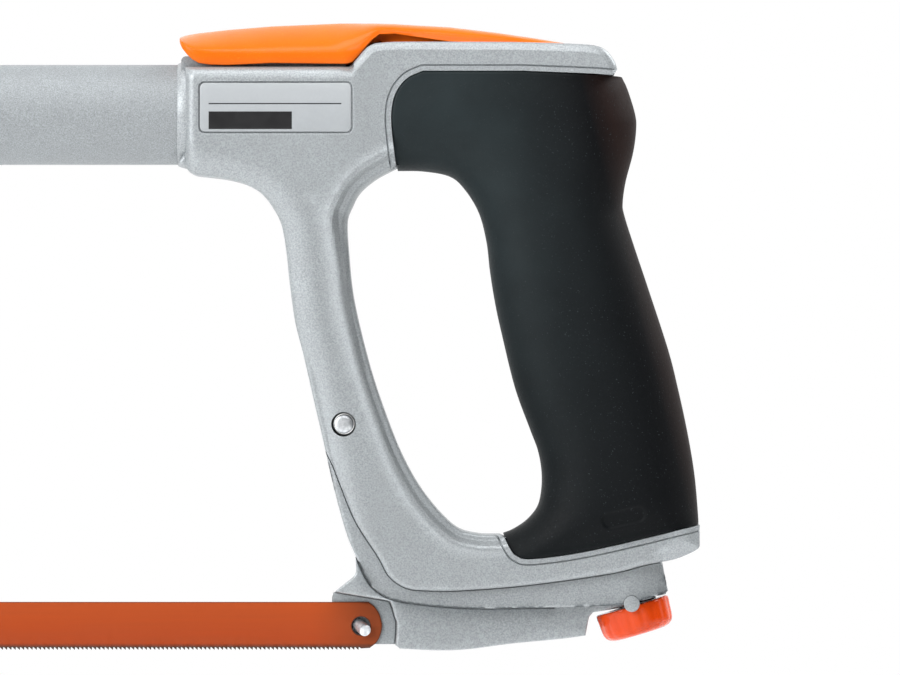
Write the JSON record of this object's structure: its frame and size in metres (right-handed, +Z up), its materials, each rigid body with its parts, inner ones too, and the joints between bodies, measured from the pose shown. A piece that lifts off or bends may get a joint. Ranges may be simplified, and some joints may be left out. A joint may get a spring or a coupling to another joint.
{
  "type": "hacksaw",
  "caption": "High-tension hacksaw: round top tube between two castings, closed rubber grip, quick-release lever on top and tension knob below, toothed blade on slanted pins.",
  "frame": {"origin": "middle of the hand grip, in the plane of the blade", "axes": "+X along the saw from its front to the hand grip, +Z up from the blade to the tube, +Y across the saw to the side away from the viewer"},
  "size_m": [0.4017, 0.03, 0.1566],
  "materials": {
    "casting": "silver textured paint on a casting",
    "tube": "silver paint, fine texture",
    "rubber": "black moulded rubber, fine texture, satin",
    "lever_paint": "glossy orange paint",
    "blade_paint": "thin orange-brown lacquer over steel",
    "knob_plastic": "glossy red-orange plastic",
    "steel": "zinc plated",
    "brass": "turned",
    "nylon": "natural nylon",
    "label": "silvery printed plate, no lettering"
  },
  "bodies": {
    "root": {"handle_casting": "casting", "grip_sleeve": "rubber", "top_tube": "tube", "rear_cross_pin": "steel", "front_cross_pin": "steel", "label_plate_near": "label", "label_plate_far": "label", "front_casting": "casting", "front_blade_pin": "steel", "lever_pin_near": "steel", "lever_pin_far": "steel", "rod_guide_bush": "nylon", "arm_pivot_pin": "steel"},
    "blade": {"blade": "blade_paint"},
    "lever": {"tension_lever": "lever_paint", "crosshead_pin": "steel"},
    "rod": {"tension_rod": "steel"},
    "washer": {"thrust_washer": "steel"},
    "knob": {"tension_knob": "knob_plastic", "knob_nut": "brass"},
    "arm": {"tension_arm": "casting", "rear_blade_pin": "steel"}
  },
  "joints": [
    {"name": "lever_pivot", "type": "hinge", "parent": "root", "child": "lever", "pos_m": [-0.02523, 0, 0.055], "axis": [0, 1, 0], "range_deg": [0, 50]},
    {"name": "rod_draw", "type": "slide", "parent": "root", "child": "rod", "axis": [0.2857, 0, -0.9583], "range_m": [0, 0.00124]},
    {"name": "knob_travel", "type": "slide", "parent": "rod", "child": "washer", "axis": [0.2857, 0, -0.9583], "range_m": [0, 0.0004]},
    {"name": "knob_turn", "type": "hinge", "parent": "washer", "child": "knob", "pos_m": [0.01375, 0, -0.07575], "axis": [0.2857, 0, -0.9583], "range_deg": [0, 180.04]},
    {"name": "arm_release", "type": "hinge", "parent": "root", "child": "arm", "pos_m": [-0.058, 0, -0.031], "axis": [0, 1, 0], "range_deg": [0, 1.27]},
    {"name": "blade_float", "type": "slide", "parent": "root", "child": "blade", "axis": [-1, 0, 0], "range_m": [0, 0.00111]}
  ],
  "couplings": [
    {"joint": "rod_draw", "follows": "lever_pivot", "m_per_rad": 0.0014159},
    {"joint": "arm_release", "follows": "lever_pivot", "ratio": 0.025295},
    {"joint": "blade_float", "follows": "lever_pivot", "m_per_rad": 0.0012774},
    {"joint": "knob_turn", "follows": "knob_travel", "rad_per_m": 7854}
  ]
}
